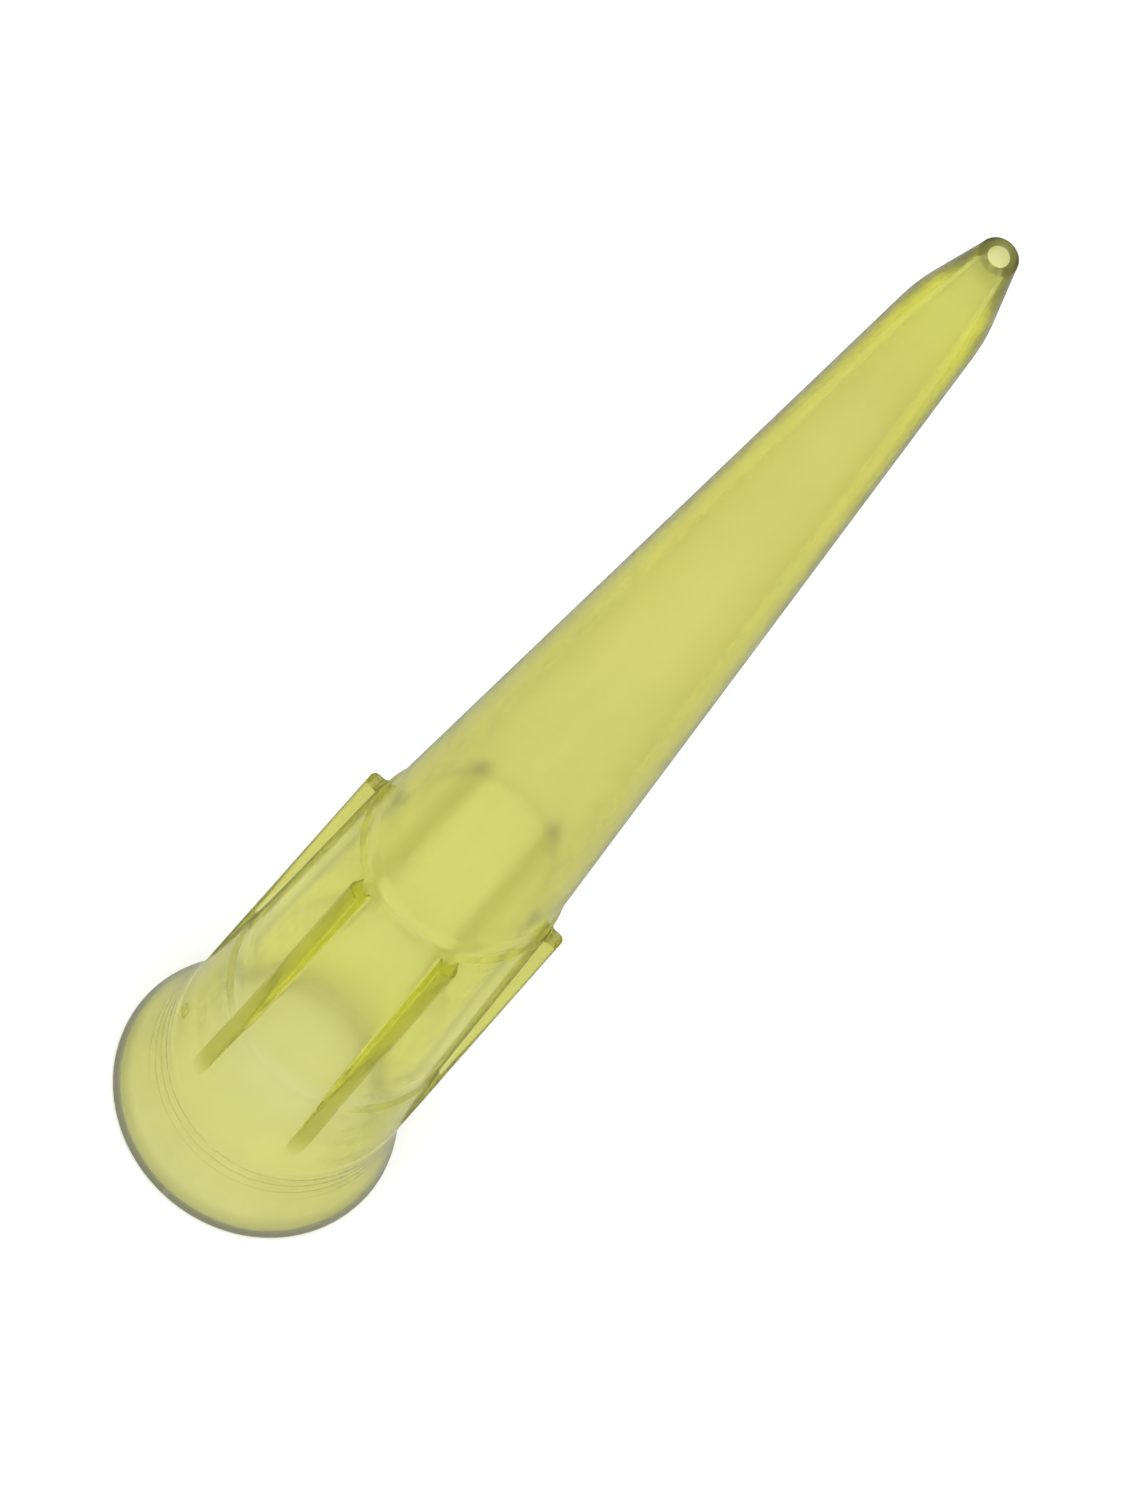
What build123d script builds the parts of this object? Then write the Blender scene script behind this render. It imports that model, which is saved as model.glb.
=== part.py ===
from build123d import *
import math
import os

# Pipette tip of the universal 200 microlitre pattern: one injection-moulded
# polypropylene shell of revolution with six longitudinal fins.
# It stands on its open mouth: Z = 0 is the plane of the mouth rim, the axis is
# Z and the fine point is at the top. Millimetres.

# ---------------------------------------------------------------- dimensions
LENGTH = 50.5          # mouth rim to the face of the point

# outside
MOUTH_R = 3.47         # widest radius, just above the rim face
RIM_FACE_R = 3.38      # outer edge of the flat rim face
RIM_ROUND_Z = 0.14     # height over which the rim face turns into the flare
FLARE_Z = 3.00         # the trumpet flare runs out into the collar here
COLLAR_R0 = 2.975      # collar radius where the flare ends
COLLAR_R1 = 2.770      # collar radius at the shoulder, between the fins
SHOULDER_Z = 6.90      # the collar ends in a low shoulder
SHOULDER_DROP = 0.30   # height of the shoulder's slope
BODY_R0 = 2.690        # body radius just above the shoulder
BODY_Z1 = 15.90        # the finned body ends in a low step
BODY_R1 = 2.450
CONE_Z0 = 16.05        # the long cone begins above the step
CONE_R0 = 2.365
CONE_Z1 = 47.40        # the long cone ends and the point begins
CONE_R1 = 0.935
POINT_R = 0.470        # outer radius of the point's end face
POINT_EDGE = 0.060     # chamfer on the end face

# inside
RIM_IN_R = 3.160       # inner edge of the flat rim face
LEAD_Z = 2.40          # the flared lead-in ends in a small step
LEAD_R = 2.600
SEAT_Z0 = 2.55         # the seat for the pipette's nose: a slight taper ...
SEAT_R0 = 2.520
SEAT_ZC = 4.00         # ... that runs into a cylindrical sealing land
SEAT_Z1 = 6.70
SEAT_R1 = 2.450
STOP_Z = 7.20          # the seat ends in a conical stop
BORE_R0 = 2.260
BORE_Z1 = 15.75        # bore where the finned body ends
BORE_R1 = 2.035
BORE_Z2 = 16.20        # it narrows a little with the step outside
BORE_R2 = 1.945
BORE_Z3 = 47.00        # bore where the point begins
BORE_R3 = 0.530
ORIFICE_R = 0.235      # hole in the point

# fins
FIN_COUNT = 6
FIN_T = 0.42           # thickness of a fin
FIN_ROOT_Z = 3.20      # foot of the fins, inside the collar wall
FIN_RUNOUT_Z = 3.60    # their straight outer edges run out on the collar here
FIN_TOP_Z = 15.90      # square upper ends
FIN_TOP_R = 2.830      # outer edge at the top
FIN_EDGE = 0.080       # chamfer along the top corner of the outer edge

# gate vestiges: two tiny flat pips left by the mould on the collar, on
# opposite sides
PIP_Z = 3.95
PIP_R = 0.16
PIP_H = 0.05


def arc_mid(p, q, slope):
    """Middle point of the arc from p to q whose tangent at q leans by slope
    (change of radius for each millimetre of height)."""
    # centre lies on the normal at q
    nx, nz = 1.0, -slope                    # normal of the direction (slope, 1)
    n = math.hypot(nx, nz)
    nx, nz = nx / n, nz / n
    dx, dz = p[0] - q[0], p[1] - q[1]
    rad = (dx * dx + dz * dz) / (2 * (dx * nx + dz * nz))
    cx, cz = q[0] + nx * rad, q[1] + nz * rad
    mx, mz = (p[0] + q[0]) / 2 - cx, (p[1] + q[1]) / 2 - cz
    m = math.hypot(mx, mz)
    return (cx + mx / m * abs(rad), cz + mz / m * abs(rad))


collar_slope = (COLLAR_R1 - COLLAR_R0) / (SHOULDER_Z - FLARE_Z)
flare_a = (MOUTH_R, RIM_ROUND_Z)
flare_b = (COLLAR_R0, FLARE_Z)
flare_m = arc_mid(flare_a, flare_b, collar_slope)

seat_slope = (SEAT_R1 - SEAT_R0) / (SEAT_ZC - SEAT_Z0)
lead_a = (RIM_IN_R, 0.0)
lead_b = (LEAD_R, LEAD_Z)
lead_m = arc_mid(lead_a, lead_b, seat_slope)



def collar_r(z):
    """Radius of the collar at height z."""
    return COLLAR_R0 + collar_slope * (z - FLARE_Z)


def fin_edge_r(z):
    """Radius of a fin's straight outer edge at height z."""
    z0, z1 = FIN_RUNOUT_Z, FIN_TOP_Z - FIN_EDGE
    return collar_r(z0) + (FIN_TOP_R - collar_r(z0)) * (z - z0) / (z1 - z0)


# ---------------------------------------------------------------- the tip
with BuildPart() as pipette_tip:
    # six fins, drawn as three bars through the axis and trimmed to their
    # straight outer edge, which has less draft than the collar and so stands
    # 0.14 proud of it at the shoulder; the bore clears their middle later
    with BuildSketch(Plane.XY.offset(FIN_ROOT_Z)):
        with PolarLocations(0, FIN_COUNT // 2, 0, 180):
            Rectangle(2 * MOUTH_R, FIN_T)
    extrude(amount=FIN_TOP_Z - FIN_ROOT_Z)
    with BuildSketch(Plane.XZ):
        with BuildLine():
            Polyline(
                (0, FIN_ROOT_Z),
                (fin_edge_r(FIN_ROOT_Z), FIN_ROOT_Z),
                (FIN_TOP_R, FIN_TOP_Z - FIN_EDGE),
                (FIN_TOP_R - FIN_EDGE, FIN_TOP_Z),
                (0, FIN_TOP_Z),
                close=True,
            )
        make_face()
    revolve(axis=Axis.Z, mode=Mode.INTERSECT)

    # outer form, still solid: rim, trumpet flare, collar, shoulder, finned
    # body, long cone and the steeper point
    with BuildSketch(Plane.XZ):
        with BuildLine():
            Line((0, 0), (RIM_FACE_R, 0))
            ThreePointArc(
                (RIM_FACE_R, 0),
                (
                    RIM_FACE_R + (MOUTH_R - RIM_FACE_R) * 0.72,
                    RIM_ROUND_Z * 0.34,
                ),
                flare_a,
            )
            ThreePointArc(flare_a, flare_m, flare_b)
            Polyline(
                flare_b,
                (COLLAR_R1, SHOULDER_Z),
                (BODY_R0, SHOULDER_Z + SHOULDER_DROP),
                (BODY_R1, BODY_Z1),
                (CONE_R0, CONE_Z0),
                (CONE_R1, CONE_Z1),
                (POINT_R, LENGTH - POINT_EDGE),
                (POINT_R - POINT_EDGE, LENGTH),
                (0, LENGTH),
                (0, 0),
            )
        make_face()
    revolve(axis=Axis.Z)

    # the hollow: flared lead-in, small step, seat, conical stop, long bore
    # and the orifice, open at both ends
    with BuildSketch(Plane.XZ):
        with BuildLine():
            Polyline((0, LENGTH), (0, 0), lead_a)
            ThreePointArc(lead_a, lead_m, lead_b)
            Polyline(
                lead_b,
                (SEAT_R0, SEAT_Z0),
                (SEAT_R1, SEAT_ZC),
                (SEAT_R1, SEAT_Z1),
                (BORE_R0, STOP_Z),
                (BORE_R1, BORE_Z1),
                (BORE_R2, BORE_Z2),
                (BORE_R3, BORE_Z3),
                (ORIFICE_R, LENGTH),
                (0, LENGTH),
            )
        make_face()
    revolve(axis=Axis.Z, mode=Mode.SUBTRACT)

    # gate vestiges on the collar, between fins
    pip_r = collar_r(PIP_Z)
    for pip_a in (math.radians(30), math.radians(210)):
        with BuildSketch(
            Plane(
                origin=(
                    (pip_r - 0.20) * math.cos(pip_a),
                    (pip_r - 0.20) * math.sin(pip_a),
                    PIP_Z,
                ),
                x_dir=(-math.sin(pip_a), math.cos(pip_a), 0),
                z_dir=(math.cos(pip_a), math.sin(pip_a), 0),
            )
        ):
            Circle(PIP_R)
        extrude(amount=0.20 + PIP_H)

pipette_tip.part.label = "pipette_tip"

os.makedirs("parts", exist_ok=True)
export_step(pipette_tip.part, "parts/pipette_tip.step")

print(
    "volume mm3",
    round(pipette_tip.part.volume, 2),
    "solids",
    len(pipette_tip.part.solids()),
    "box",
    pipette_tip.part.bounding_box(),
)
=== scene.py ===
"""Pipette tip: one thin shell of translucent yellow polypropylene standing on its open mouth."""

import math

import bpy
import numpy as np
from mathutils import Matrix, Vector


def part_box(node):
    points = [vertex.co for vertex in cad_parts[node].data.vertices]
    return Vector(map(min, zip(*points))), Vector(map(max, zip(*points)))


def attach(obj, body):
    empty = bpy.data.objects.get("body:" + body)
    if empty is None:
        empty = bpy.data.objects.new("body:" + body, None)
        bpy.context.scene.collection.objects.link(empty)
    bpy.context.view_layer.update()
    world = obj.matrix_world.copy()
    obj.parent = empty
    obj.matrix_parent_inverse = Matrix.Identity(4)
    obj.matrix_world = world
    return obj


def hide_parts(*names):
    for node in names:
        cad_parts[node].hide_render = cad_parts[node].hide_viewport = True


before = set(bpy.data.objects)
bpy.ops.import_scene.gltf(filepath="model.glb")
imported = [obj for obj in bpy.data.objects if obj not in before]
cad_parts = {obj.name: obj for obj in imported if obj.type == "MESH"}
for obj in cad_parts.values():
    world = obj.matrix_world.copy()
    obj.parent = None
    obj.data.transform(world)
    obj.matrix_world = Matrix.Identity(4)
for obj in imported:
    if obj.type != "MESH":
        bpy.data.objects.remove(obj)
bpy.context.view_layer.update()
node_lo, node_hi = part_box("pipette_tip")
MM = 0.001

# --------------------------------------------------------------------------
# camera: steeply from above, the tip leaning to the upper right of the frame
# --------------------------------------------------------------------------
AZIMUTH, ELEVATION, ROLL, DISTANCE, LENS = -90.0, 61.7, 41.5, 0.290, 320.0

cam_data = bpy.data.cameras.new("camera")
cam = bpy.data.objects.new("camera", cam_data)
bpy.context.scene.collection.objects.link(cam)
bpy.context.scene.camera = cam
target = Vector(((node_lo.x + node_hi.x) / 2, (node_lo.y + node_hi.y) / 2, 0.0)) + Vector(
    (0.0, 0.0, 0.0228)
)
a, e = math.radians(AZIMUTH), math.radians(ELEVATION)
back = Vector((math.cos(a) * math.cos(e), math.sin(a) * math.cos(e), math.sin(e)))
cam.location = target + back * DISTANCE
cam.rotation_mode = "QUATERNION"
look = (-back).to_track_quat("-Z", "Y").to_matrix()
cam.rotation_quaternion = (
    look @ Matrix.Rotation(math.radians(ROLL), 3, "Z")
).to_quaternion()
cam_data.sensor_width = 36.0
cam_data.lens = LENS
cam_data.clip_start, cam_data.clip_end = 0.01, 10.0


# --------------------------------------------------------------------------
# the moulding, in millimetres
# --------------------------------------------------------------------------
def fillet(path, radii, fine=0.35):
    """A polyline of (r, z) with its corners rounded. radii has one value for each inner point."""
    out = [path[0]]
    for i in range(1, len(path) - 1):
        p0, p1, p2 = (np.array(path[j], float) for j in (i - 1, i, i + 1))
        u, v = p0 - p1, p2 - p1
        lu, lv = np.linalg.norm(u), np.linalg.norm(v)
        u, v = u / lu, v / lv
        half = math.acos(max(-1.0, min(1.0, float(u @ v)))) / 2
        turn = math.pi - 2 * half
        rad = radii[i - 1]
        if rad <= 0 or turn < 1e-4:
            out.append(tuple(p1))
            continue
        cut = rad / math.tan(half)
        cut = min(cut, 0.48 * lu, 0.48 * lv)
        rad = cut * math.tan(half)
        centre = p1 + (u + v) / np.linalg.norm(u + v) * (rad / math.sin(half))
        a0, a1 = p1 + u * cut, p1 + v * cut
        n = max(2, int(math.ceil(turn / fine)))
        s0, s1 = a0 - centre, a1 - centre
        ang0, ang1 = math.atan2(s0[1], s0[0]), math.atan2(s1[1], s1[0])
        d = (ang1 - ang0 + math.pi) % (2 * math.pi) - math.pi
        for k in range(n + 1):
            t = ang0 + d * k / n
            out.append((centre[0] + rad * math.cos(t), centre[1] + rad * math.sin(t)))
    out.append(path[-1])
    return out


def spaced(path, longest, support=0.0):
    """The same polyline with no run longer than longest (a number, or a function of z), and a
    support point a little way in from each end of a long run."""
    out = [path[0]]
    for p, q in zip(path, path[1:]):
        d = math.dist(p, q)
        lim = longest(0.5 * (p[1] + q[1])) if callable(longest) else longest
        marks = [0.0]
        if support and d > 6 * support:
            marks.append(support / d)
        n = max(1, int(math.ceil(d / lim)))
        marks += [k / n for k in range(1, n) if support / d < k / n < 1 - support / d]
        if support and d > 6 * support:
            marks.append(1 - support / d)
        for t in marks[1:]:
            out.append((p[0] + (q[0] - p[0]) * t, p[1] + (q[1] - p[1]) * t))
        out.append(q)
    return out


def arc(p, q, bulge_to, n):
    """Points of the circular arc from p to q that is tangent at q to the line q to bulge_to."""
    p, q, t = np.array(p, float), np.array(q, float), np.array(bulge_to, float)
    d = (t - q) / np.linalg.norm(t - q)
    nrm = np.array([d[1], -d[0]])
    w = p - q
    rad = float(w @ w) / (2 * float(w @ nrm))
    c = q + nrm * rad
    a0 = math.atan2(*(p - c)[::-1])
    a1 = math.atan2(*(q - c)[::-1])
    dd = (a1 - a0 + math.pi) % (2 * math.pi) - math.pi
    return [
        (c[0] + abs(rad) * math.cos(a0 + dd * k / n), c[1] + abs(rad) * math.sin(a0 + dd * k / n))
        for k in range(n + 1)
    ]


LENGTH = node_hi.z / MM
MOUTH_R, RIM_FACE_R, RIM_IN_R = 3.466, 3.38, 3.16
COLLAR_R0, COLLAR_R1, SHOULDER_Z = 2.975, 2.77, 6.95
BODY_R0, BODY_R1, BODY_Z0, BODY_Z1 = 2.69, 2.45, 7.15, 15.9
CONE_R0, CONE_Z0, CONE_R1, CONE_Z1, POINT_R = 2.365, 16.05, 0.935, 47.4, 0.47
FIN_HALF, FIN_RUNOUT, FIN_R1, FIN_TOP = 0.21, 3.6, 2.83, 15.9
PIP_Z, PIP_R, PIP_H = 3.95, 0.17, 0.055


def collar_r(z):
    return COLLAR_R0 + (COLLAR_R1 - COLLAR_R0) * (z - 3.0) / (SHOULDER_Z - 3.0)


def fin_r(z):
    """Radius of the fins' straight outer edges, which run out on the collar."""
    r0 = collar_r(FIN_RUNOUT)
    return r0 + (FIN_R1 - r0) * (z - FIN_RUNOUT) / (FIN_TOP - 0.08 - FIN_RUNOUT)


# outer profile, from the rim's inner edge round the mouth and up to the point
flare = arc((MOUTH_R, 0.14), (COLLAR_R0, 3.0), (COLLAR_R1, SHOULDER_Z), 22)
rim_turn = [
    (
        RIM_FACE_R + (MOUTH_R - RIM_FACE_R) * math.sin(t),
        0.14 - 0.14 * math.cos(t),
    )
    for t in [math.radians(x) for x in (0, 14, 28, 42, 56, 70)]
]
low = rim_turn + flare                                    # the rim, flare and top of the collar
collar_z = [3.3, 3.55, 3.66, 3.71] + [
    round(3.74 + 0.028 * k, 4) for k in range(16)
] + [4.19, 4.24, 4.35, 4.55, 4.8, 5.1, 5.45, 5.8, 6.2, 6.5]
collar = [(collar_r(z), z) for z in collar_z]

# the shoulder, where the fins grow out of the collar's end
shoulder = fillet(
    [(collar_r(6.65), 6.65),
     (collar_r(6.85), 6.85), (BODY_R0, 7.22),
     (BODY_R0 + (BODY_R1 - BODY_R0) * 0.07, BODY_Z0 + 0.07 * (BODY_Z1 - BODY_Z0))],
    [0.3, 0.4], 0.08)
shoulder = spaced(shoulder, 0.12, 0.0)
body = spaced(
    [shoulder[-1], (BODY_R0 + (BODY_R1 - BODY_R0) * 0.97, BODY_Z0 + 0.97 * (BODY_Z1 - BODY_Z0))],
    0.9)[1:]
# the step at the top of the finned body, and the long cone to the point
step = fillet(
    [body[-1], (BODY_R1, BODY_Z1), (CONE_R0, 16.12), (CONE_R0 - 0.04, CONE_Z0 + 0.9)],
    [0.08, 0.25], 0.14)[1:]
cone = fillet(
    [step[-1], (CONE_R1, CONE_Z1), (POINT_R, LENGTH), (0.30, LENGTH)],
    [14.0, 0.07], 0.02)
cone_a = fillet([step[-1], (CONE_R1, CONE_Z1), (POINT_R + 0.005, LENGTH - 0.3)], [12.0], 0.016)
cone_b = fillet(
    [(POINT_R + 0.005, LENGTH - 0.3), (POINT_R - 0.04, LENGTH), (0.27, LENGTH)], [0.07], 0.25)
cone = spaced(cone_a, lambda z: 1.3 if z < 46 else 0.4)[1:] + spaced(cone_b, 0.12)[1:]

# inner profile, from the orifice down to the rim
inner_a = fillet(
    [(0.27, LENGTH), (0.235, LENGTH - 0.03), (0.53, 47.0), (1.945, 16.2), (2.035, 15.75),
     (2.26, 7.2), (2.45, 6.7), (2.45, 4.0), (2.52, 2.55), (2.60, 2.4)],
    [0.03, 12.0, 0.3, 0.3, 0.5, 0.5, 6.0, 0.04], 0.08)
inner_a = spaced(inner_a, lambda z: 0.5 if z > 46 else (1.5 if z > 17 else (1.1 if z > 7.6 else 0.5)))
lead = arc((RIM_IN_R, 0.0), (2.60, 2.4), (2.53, 4.2), 120)[::-1]
# three fine lines turned into the lead-in, and the line where it ends
lines = []
for r, z in lead:
    cut = 0.0
    for zc, depth, wide in ((2.16, 0.022, 0.045), (1.83, 0.020, 0.045), (1.50, 0.018, 0.045), (1.17, 0.012, 0.05)):
        cut += depth * math.exp(-(((z - zc) / wide) ** 2))
    lines.append((r + cut, z))
inner_b = [p for k, p in enumerate(lines) if (0.95 < p[1] < 2.36) or k % 5 == 0][1:-1]
rim_in = [
    (3.21 - 0.05 * math.cos(t), 0.05 - 0.05 * math.sin(t))
    for t in [math.radians(x) for x in (0, 22, 45, 68, 90)]
]
inner_b = [p for p in inner_b if p[1] > 0.09]
inner = inner_a[1:] + inner_b + rim_in


# --------------------------------------------------------------------------
# one ring of the mesh: fin points and wall points all round
# --------------------------------------------------------------------------
EDGE = 0.14


def half_fin(r_wall, r_fin, w, edge):
    """(lateral, radial) points from the middle of a fin's outer edge to the wall beside it."""
    height = max(r_fin - r_wall, 0.0)
    f = min(0.07, 0.42 * height)
    edge = min(edge, 0.55 * height, 0.8 * w)
    pts = []
    for y in (0.0, 0.5 * (w - edge), w - edge):
        pts.append((y, math.sqrt(r_fin**2 - y**2)))
    xe = pts[-1][1]
    for t in (18, 36, 54, 72, 90):
        t = math.radians(t)
        pts.append((w - edge + edge * math.sin(t), xe - edge + edge * math.cos(t)))
    foot = w + f
    xw = math.sqrt(r_wall**2 - foot**2)
    top, bottom = xe - edge, xw + f
    pts.append((w, top + (bottom - top) * 0.5))
    pts.append((w, bottom))
    for t in (30, 60, 90):
        t = math.radians(t)
        pts.append((w + f - f * math.cos(t), xw + f - f * math.sin(t)))
    return pts


FLAT_Y = [0.0, 0.03, 0.06, 0.105, 0.145, 0.178, 0.20, 0.21, 0.22, 0.232, 0.246, 0.262, 0.28]
NFIN = len(FLAT_Y) - 1
PIPS = (0, 3)                     # sectors with a gate vestige in their middle


def wall_angles(first, last, fine):
    if not fine:
        return [first + (last - first) * k / 16 for k in range(1, 16)]
    mid = (first + last) / 2
    near = [mid + math.radians(d) for d in np.linspace(-4.6, 4.6, 17)]
    left = [first + (near[0] - first) * k / 6 for k in range(1, 6)]
    right = [near[-1] + (last - near[-1]) * k / 6 for k in range(1, 6)]
    return left + near + right


RIDGE = [1, 1, 1, 0.98, 0.93, 0.82, 0.66, 0.5, 0.33, 0.18, 0.07, 0.01, 0.0]


def ring(r, z, fin=None, fin_z=None, ridge=0.0):
    """Points of one ring. fin is (fin radius, half width, edge) where the ring crosses the fins,
    and fin_z is the height of the fins' own points if it isn't z. ridge is how proud the low
    ridges are where the fins run out on the collar."""
    pts = []
    for s in range(6):
        c = s * math.pi / 3
        if fin:
            half = half_fin(r, *fin)
        else:
            half = [(y, math.sqrt(max(r * r - (y * min(1, r / 1.2)) ** 2, 0))) for y in FLAT_Y]
            half = [(y * min(1, r / 1.2), x + ridge * w) for (y, x), w in zip(half, RIDGE)]
        hz = z if fin_z is None else fin_z
        side = [(x * math.cos(c) - y * math.sin(c), x * math.sin(c) + y * math.cos(c)) for y, x in half]
        other = [(x * math.cos(c) + y * math.sin(c), x * math.sin(c) - y * math.cos(c)) for y, x in half]
        n = len(half)
        for k in range(n - 1, 0, -1):
            pts.append((*other[k], z if k > n - 3 and fin_z is not None else hz))
        for k in range(n):
            pts.append((*side[k], z if k > n - 3 and fin_z is not None else hz))
        last = math.atan2(half[-1][0], half[-1][1])
        for t in wall_angles(c + last, c + math.pi / 3 - last, s in PIPS):
            pts.append((r * math.cos(t), r * math.sin(t), z))
    return pts


rings = []
for r, z in low + collar:
    if z > 4.5:
        rings.append(ring(r, z, (fin_r(z), FIN_HALF, EDGE)))
    else:
        rings.append(ring(r, z, ridge=max(0.0, fin_r(z) - r) if z > FIN_RUNOUT else 0.0))
for r, z in shoulder:
    rings.append(ring(r, z, (fin_r(z), FIN_HALF, EDGE)))
for r, z in body:
    rings.append(ring(r, z, (fin_r(z), FIN_HALF, EDGE)))
# the fins' square tops: the last rings draw in over a small rounding, then the flat face closes
rb, zb = body[-1]
for z in (15.72, 15.80, 15.84):
    r = BODY_R0 + (BODY_R1 - BODY_R0) * (z - BODY_Z0) / (BODY_Z1 - BODY_Z0)
    rings.append(ring(r, z, (fin_r(z), FIN_HALF, EDGE)))
TOP_OUT, TOP_SIDE, TOP_UP = 0.075, 0.035, 0.055
for t, zw in ((22, 15.846), (45, 15.852), (68, 15.858), (90, 15.864)):
    t = math.radians(t)
    rings.append(
        ring(BODY_R0 + (BODY_R1 - BODY_R0) * (zw - BODY_Z0) / (BODY_Z1 - BODY_Z0), zw,
             (fin_r(FIN_TOP) - TOP_OUT * (1 - math.cos(t)), FIN_HALF - TOP_SIDE * (1 - math.cos(t)), EDGE),
             FIN_TOP - TOP_UP * (1 - math.sin(t))))
for r, z in step:
    if z > 15.866:
        rings.append(ring(r, z))
for r, z in cone + inner:
    rings.append(ring(r, z))

n_ring = len(rings[0])
assert all(len(x) == n_ring for x in rings)
co = np.array(rings, float)

# the gate vestiges: two tiny flat pips on the collar
for s in PIPS:
    t = s * math.pi / 3 + math.pi / 6
    d = np.array([math.cos(t), math.sin(t), 0.0])
    side = np.array([-math.sin(t), math.cos(t), 0.0])
    n_out = len(low) + len(collar)
    part = co[:n_out]
    lateral, up, front = part @ side, part[..., 2] - PIP_Z, part @ d
    dist = np.sqrt(lateral**2 + up**2)
    k = np.clip((PIP_R + 0.03 - dist) / 0.06, 0, 1)
    lift = PIP_H * k * k * (3 - 2 * k) * (front > 0)
    co[:n_out] += lift[..., None] * d

co *= MM
nr = len(co)
faces = []
for i in range(nr):
    j = (i + 1) % nr
    for k in range(n_ring):
        m = (k + 1) % n_ring
        faces.append((i * n_ring + k, i * n_ring + m, j * n_ring + m, j * n_ring + k))
mesh = bpy.data.meshes.new("tip_shell")
mesh.from_pydata(co.reshape(-1, 3).tolist(), [], faces)
mesh.validate()
mesh.update()
tip = bpy.data.objects.new("tip_shell", mesh)
bpy.context.scene.collection.objects.link(tip)
mesh.shade_smooth()
print("TIP faces", len(mesh.polygons), "rings", nr, "per ring", n_ring)
wn = tip.modifiers.new("normals", "WEIGHTED_NORMAL")
wn.mode = "FACE_AREA"
wn.weight = 60
wn.keep_sharp = True
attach(tip, "root")
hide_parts("pipette_tip")


# --------------------------------------------------------------------------
# material: hazy lime-yellow polypropylene
# --------------------------------------------------------------------------
# tint of the wall by height, set for likeness: it is painted light and shade, evening out
# what the lighting does to the wall from the mouth to the point
TINT = (
    # the two lowest stops are painted shade: a dark band round the foot of the rim where it stands on the floor
    (0.0, (0.590, 0.590, 0.475)),
    (0.20, (0.735, 0.735, 0.630)),
    (0.32, (0.920, 0.911, 0.885)),
    (1.2, (0.911, 0.901, 0.885)),
    (2.6, (0.908, 0.898, 0.898)),
    (4.4, (0.899, 0.893, 0.923)),
    (6.2, (0.895, 0.889, 0.920)),
    (8.5, (0.928, 0.920, 0.932)),
    (10.0, (0.925, 0.920, 0.890)),
    (13.0, (0.908, 0.903, 0.836)),
    (17.0, (0.870, 0.861, 0.800)),
    (24.0, (0.877, 0.863, 0.857)),
    (34.0, (0.875, 0.846, 0.808)),
    (43.5, (0.860, 0.832, 0.791)),
    (48.5, (0.853, 0.853, 0.670)),
    (49.9, (0.815, 0.815, 0.625)),
    (50.3, (0.650, 0.650, 0.420)),
)
# the fins' tint: partly the deeper colour of their thicker plastic, partly painted shade for the dark lines they
# show
FIN_TINT_AND_SHADE = (0.765, 0.765, 0.42)
# painted shade along the fins' outer edges, for their dark outline
FIN_EDGE_SHADE = (0.72, 0.72, 0.60)
ROUGH_LO, ROUGH_HI = 0.18, 0.24
TRANS = 0.92
IOR_N = 1.09
DIST = "GGX"
COAT = 1.0
COAT_ROUGH = 0.1
COAT_IOR = 1.002
COAT_TINT = (
    (0.0, 0.958),
    (2.4, 0.958),
    (3.6, 0.981),
    (12.5, 0.981),
    (17.0, 0.950),
    (48.5, 0.942),
    (50.5, 0.942),
)
# middle of the wall by height, to tell the outer skin from the inner one
WALL_MID = (
    (0.0, 3.30),
    (1.0, 3.03),
    (2.0, 2.85),
    (3.0, 2.74),
    (6.9, 2.61),
    (7.3, 2.475),
    (15.9, 2.24),
    (16.2, 2.15),
    (47.2, 0.735),
    (50.5, 0.345),
)
ABS_COLOR, ABS_DENSITY = (0.985, 0.985, 0.042), 1200.0
BUMP = 1.0


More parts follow.
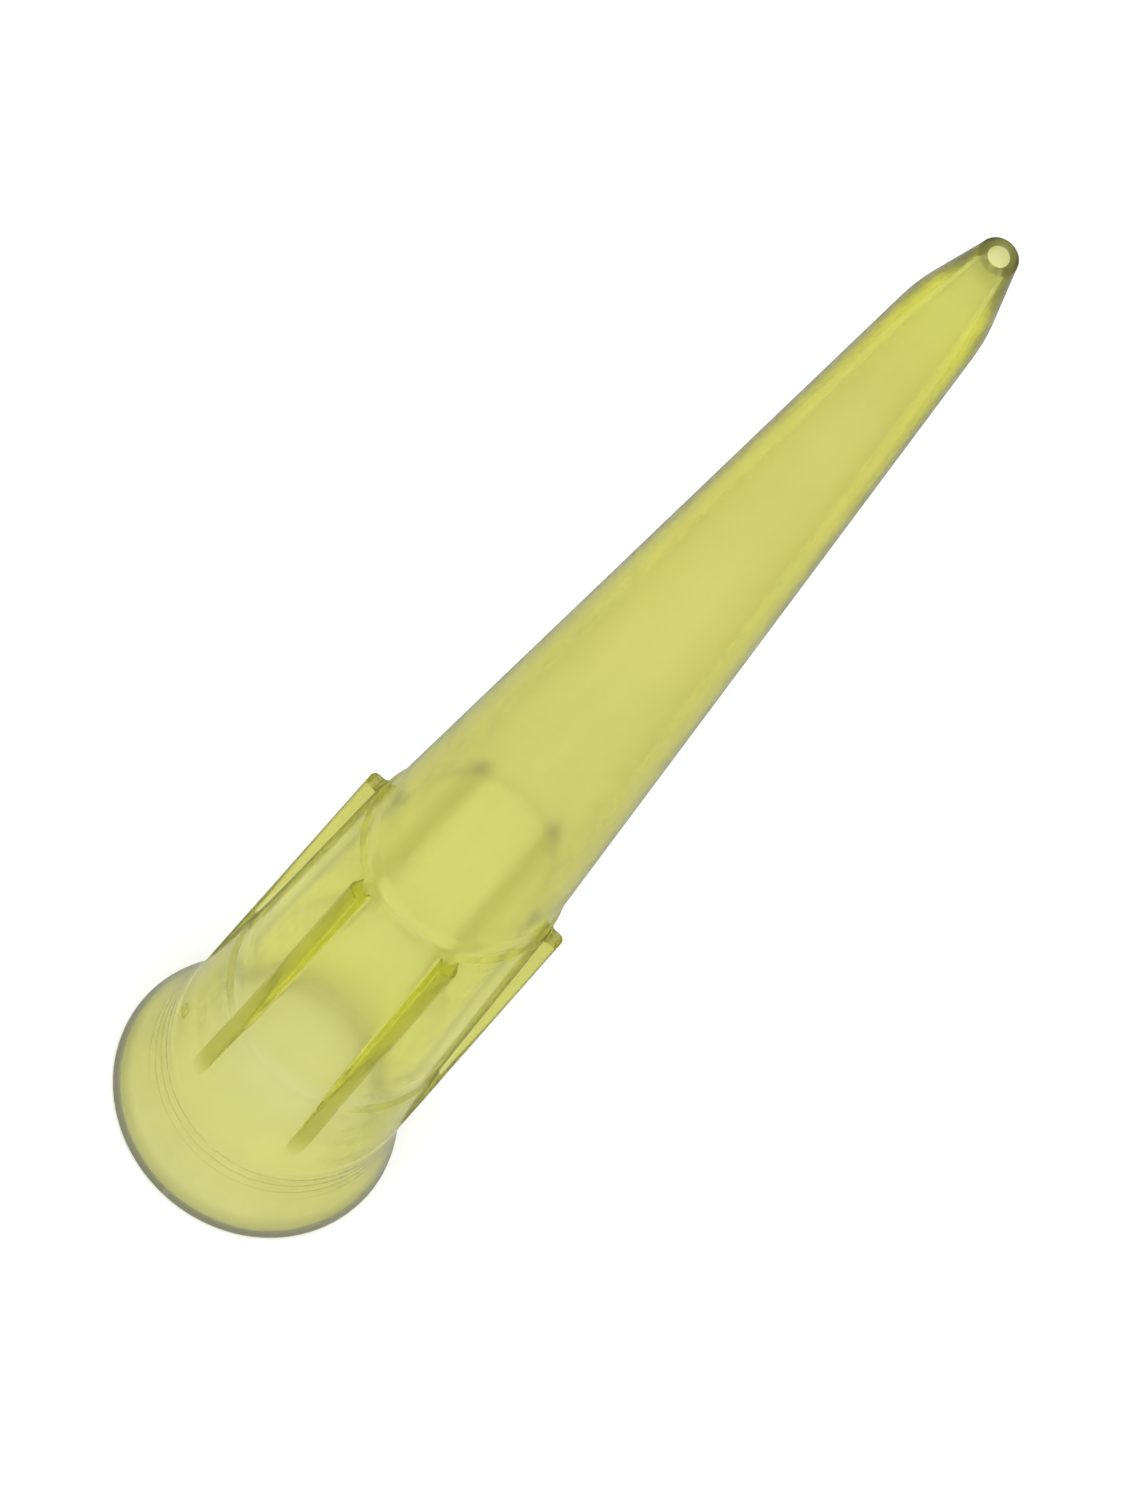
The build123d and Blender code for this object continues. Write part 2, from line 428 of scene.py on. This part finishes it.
def polypropylene():
    m = bpy.data.materials.new("tip_polypropylene")
    m.use_nodes = True
    nt = m.node_tree
    nt.nodes.clear()
    N, L = nt.nodes.new, nt.links.new

    def scaled(vec, factors):
        v = N("ShaderNodeVectorMath")
        v.operation = "MULTIPLY"
        v.inputs[1].default_value = factors
        L(vec, v.inputs[0])
        return v.outputs["Vector"]

    def noise(vec, scale, detail, rough):
        t = N("ShaderNodeTexNoise")
        t.inputs["Scale"].default_value = scale
        t.inputs["Detail"].default_value = detail
        t.inputs["Roughness"].default_value = rough
        L(vec, t.inputs["Vector"])
        return t.outputs["Fac"]

    def span(value, a0, a1, b0, b1):
        r = N("ShaderNodeMapRange")
        r.inputs["From Min"].default_value = a0
        r.inputs["From Max"].default_value = a1
        r.inputs["To Min"].default_value = b0
        r.inputs["To Max"].default_value = b1
        L(value, r.inputs["Value"])
        return r.outputs["Result"]

    out = N("ShaderNodeOutputMaterial")
    p = N("ShaderNodeBsdfPrincipled")
    tc = N("ShaderNodeTexCoord")
    obj = tc.outputs["Object"]
    sep = N("ShaderNodeSeparateXYZ")
    L(obj, sep.inputs[0])

    def by_height(stops):
        ramp = N("ShaderNodeValToRGB")
        L(span(sep.outputs["Z"], 0.0, 0.0505, 0.0, 1.0), ramp.inputs["Fac"])
        el = ramp.color_ramp.elements
        for k, (z, c) in enumerate(stops):
            pos = z / 50.5
            e_ = el[k] if k < 2 else el.new(pos)
            e_.position = pos
            e_.color = (*c, 1) if isinstance(c, tuple) else (c, c, 0.996 * c, 1)
        return ramp.outputs["Color"]

    # colour: deeper towards the point, with soft cloudiness and faint streaks along the flow
    colour = by_height(TINT)
    cloud = span(noise(scaled(obj, (1, 1, 0.35)), 420.0, 3.0, 0.55), 0.3, 0.7, 0.975, 1.02)
    streak = span(noise(scaled(obj, (1, 1, 0.04)), 2200.0, 2.0, 0.5), 0.3, 0.7, 0.985, 1.012)
    both = N("ShaderNodeMath")
    both.operation = "MULTIPLY"
    L(cloud, both.inputs[0])
    L(streak, both.inputs[1])
    # the fins, thicker sections than the wall they stand on, look deeper; their tint is partly that deeper colour
    # and partly painted shade for the dark lines the fins show
    flat = N("ShaderNodeVectorMath")
    flat.operation = "LENGTH"
    L(scaled(obj, (1, 1, 0)), flat.inputs[0])
    lean = (BODY_R0 - BODY_R1) / (BODY_Z1 - BODY_Z0)
    over = N("ShaderNodeMath")
    over.operation = "MULTIPLY_ADD"
    over.inputs[1].default_value = lean
    L(sep.outputs["Z"], over.inputs[0])
    L(flat.outputs["Value"], over.inputs[2])
    skin = (BODY_R0 + lean * BODY_Z0) * MM
    proud = span(over.outputs[0], skin + 0.00003, skin + 0.00008, 0.0, 1.0)
    slim = (COLLAR_R0 - COLLAR_R1) / (SHOULDER_Z - 3.0)
    past = N("ShaderNodeMath")
    past.operation = "MULTIPLY_ADD"
    past.inputs[1].default_value = slim
    L(sep.outputs["Z"], past.inputs[0])
    L(flat.outputs["Value"], past.inputs[2])
    collar_skin = (COLLAR_R0 + slim * 3.0) * MM
    clear = span(past.outputs[0], collar_skin + 0.00002, collar_skin + 0.00007, 0.0, 1.0)
    above = span(sep.outputs["Z"], 0.0037, 0.0042, 0.0, 1.0)
    masks = N("ShaderNodeMath")
    masks.operation = "MULTIPLY"
    L(proud, masks.inputs[0])
    L(clear, masks.inputs[1])
    on_fin = N("ShaderNodeMath")
    on_fin.operation = "MULTIPLY"
    L(masks.outputs[0], on_fin.inputs[0])
    L(above, on_fin.inputs[1])
    deep = N("ShaderNodeMix")
    deep.data_type = "RGBA"
    deep.blend_type = "MULTIPLY"
    L(on_fin.outputs[0], deep.inputs["Factor"])
    L(colour, deep.inputs[6])
    deep.inputs[7].default_value = (*FIN_TINT_AND_SHADE, 1)
    # and darkest along their outer edges: painted shade standing in for the dark outline there
    fall = (fin_r(FIN_RUNOUT) - fin_r(FIN_TOP)) / (FIN_TOP - FIN_RUNOUT)
    rim = N("ShaderNodeMath")
    rim.operation = "MULTIPLY_ADD"
    rim.inputs[1].default_value = fall
    L(sep.outputs["Z"], rim.inputs[0])
    L(flat.outputs["Value"], rim.inputs[2])
    edge_skin = (fin_r(FIN_RUNOUT) + fall * FIN_RUNOUT) * MM
    fin_edge_shade_mask = N("ShaderNodeMath")
    fin_edge_shade_mask.operation = "MULTIPLY"
    L(span(rim.outputs[0], edge_skin - 0.00007, edge_skin - 0.00003, 0.0, 1.0), fin_edge_shade_mask.inputs[0])
    L(on_fin.outputs[0], fin_edge_shade_mask.inputs[1])
    painted_edge_shade = N("ShaderNodeMix")
    painted_edge_shade.data_type = "RGBA"
    painted_edge_shade.blend_type = "MULTIPLY"
    L(fin_edge_shade_mask.outputs[0], painted_edge_shade.inputs["Factor"])
    L(deep.outputs[2], painted_edge_shade.inputs[6])
    painted_edge_shade.inputs[7].default_value = (*FIN_EDGE_SHADE, 1)
    tint = N("ShaderNodeVectorMath")
    tint.operation = "SCALE"
    L(painted_edge_shade.outputs[2], tint.inputs[0])
    L(both.outputs[0], tint.inputs["Scale"])
    L(tint.outputs["Vector"], p.inputs["Base Color"])

    # gloss: moulded skin, slightly uneven
    L(span(noise(obj, 900.0, 3.0, 0.6), 0.3, 0.7, ROUGH_LO, ROUGH_HI), p.inputs["Roughness"])

    # relief: a fine orange peel and drawn lines left along the axis by the polished mould
    peel = N("ShaderNodeBump")
    peel.inputs["Strength"].default_value = 0.25 * BUMP
    peel.inputs["Distance"].default_value = 0.00002
    L(noise(obj, 1600.0, 2.0, 0.5), peel.inputs["Height"])
    draw = N("ShaderNodeBump")
    draw.inputs["Strength"].default_value = 0.3 * BUMP
    draw.inputs["Distance"].default_value = 0.00001
    L(noise(scaled(obj, (1, 1, 0.03)), 3200.0, 2.0, 0.5), draw.inputs["Height"])
    L(peel.outputs["Normal"], draw.inputs["Normal"])
    L(draw.outputs["Normal"], p.inputs["Normal"])

    p.distribution = DIST
    p.inputs["IOR"].default_value = IOR_N
    p.inputs["Transmission Weight"].default_value = TRANS
    p.inputs["Coat Weight"].default_value = COAT
    p.inputs["Coat Roughness"].default_value = COAT_ROUGH
    p.inputs["Coat IOR"].default_value = COAT_IOR
    # the tinted coat is on the outer skin only, set for likeness
    outside = N("ShaderNodeMath")
    outside.operation = "MULTIPLY_ADD"
    outside.inputs[1].default_value = 250.0
    L(flat.outputs["Value"], outside.inputs[0])
    middle = N("ShaderNodeMath")
    middle.operation = "MULTIPLY"
    middle.inputs[1].default_value = -1.0
    L(by_height(tuple((z, (r / 4, r / 4, r / 4)) for z, r in WALL_MID)), middle.inputs[0])
    L(middle.outputs[0], outside.inputs[2])
    skin_only = N("ShaderNodeMix")
    skin_only.data_type = "RGBA"
    L(span(outside.outputs[0], -0.006, 0.006, 0.0, 1.0), skin_only.inputs["Factor"])
    skin_only.inputs[6].default_value = (1.0, 1.0, 1.0, 1.0)
    L(by_height(COAT_TINT), skin_only.inputs[7])
    L(skin_only.outputs[2], p.inputs["Coat Tint"])
    L(p.outputs["BSDF"], out.inputs["Surface"])
    v = N("ShaderNodeVolumeAbsorption")
    v.inputs["Color"].default_value = (*ABS_COLOR, 1)
    v.inputs["Density"].default_value = ABS_DENSITY
    L(v.outputs["Volume"], out.inputs["Volume"])
    return m


tip.data.materials.append(polypropylene())

# --------------------------------------------------------------------------
# floor and light
# --------------------------------------------------------------------------
FLOOR, GLOW, WORLD = 0.85, 0.15, 0.45
KEY, FILL = 5.95, 0.0
fm = bpy.data.meshes.new("floor")
S = 0.6
fm.from_pydata([(-S, -S, 0), (S, -S, 0), (S, S, 0), (-S, S, 0)], [], [(0, 1, 2, 3)])
floor = bpy.data.objects.new("floor", fm)
bpy.context.scene.collection.objects.link(floor)
mf = bpy.data.materials.new("floor_white")
mf.use_nodes = True
pf = mf.node_tree.nodes["Principled BSDF"]
pf.inputs["Base Color"].default_value = (FLOOR, FLOOR, FLOOR * 0.99, 1)
pf.inputs["Roughness"].default_value = 0.9
pf.inputs["Specular IOR Level"].default_value = 0.1
pf.inputs["Emission Color"].default_value = (1, 1, 0.99, 1)
pf.inputs["Emission Strength"].default_value = GLOW
fm.materials.append(mf)

world = bpy.data.worlds.new("studio")
bpy.context.scene.world = world
world.use_nodes = True
bg = world.node_tree.nodes["Background"]
bg.inputs["Color"].default_value = (0.9, 0.95, 1.0, 1)
bg.inputs["Strength"].default_value = WORLD


def area(name, loc, size, power, toward=(0, 0, 0.02)):
    d = bpy.data.lights.new(name, "AREA")
    d.shape = "RECTANGLE"
    d.size, d.size_y = size
    d.energy = power
    o = bpy.data.objects.new(name, d)
    o.location = loc
    o.rotation_mode = "QUATERNION"
    o.rotation_quaternion = (Vector(toward) - Vector(loc)).to_track_quat("-Z", "Y")
    bpy.context.scene.collection.objects.link(o)
    return o


area("key", (0.0, -0.05, 0.8), (0.9, 0.9), KEY)
STRIP = 1.0
strip = area("strip", (0.0, -0.27, 0.56), (0.5, 0.07), STRIP)
if FILL:
    area("fill", (0.5, -0.35, 0.55), (0.5, 0.5), FILL)

sc = bpy.context.scene
sc.view_settings.view_transform = "Standard"
sc.view_settings.look = "None"
EXPOSURE = 0.0
sc.view_settings.exposure = EXPOSURE
sc.cycles.use_denoising = True
sc.cycles.max_bounces = 24
sc.cycles.transmission_bounces = 20
sc.cycles.glossy_bounces = 8
sc.cycles.diffuse_bounces = 4
sc.cycles.transparent_max_bounces = 12
sc.cycles.sample_clamp_indirect = 8.0
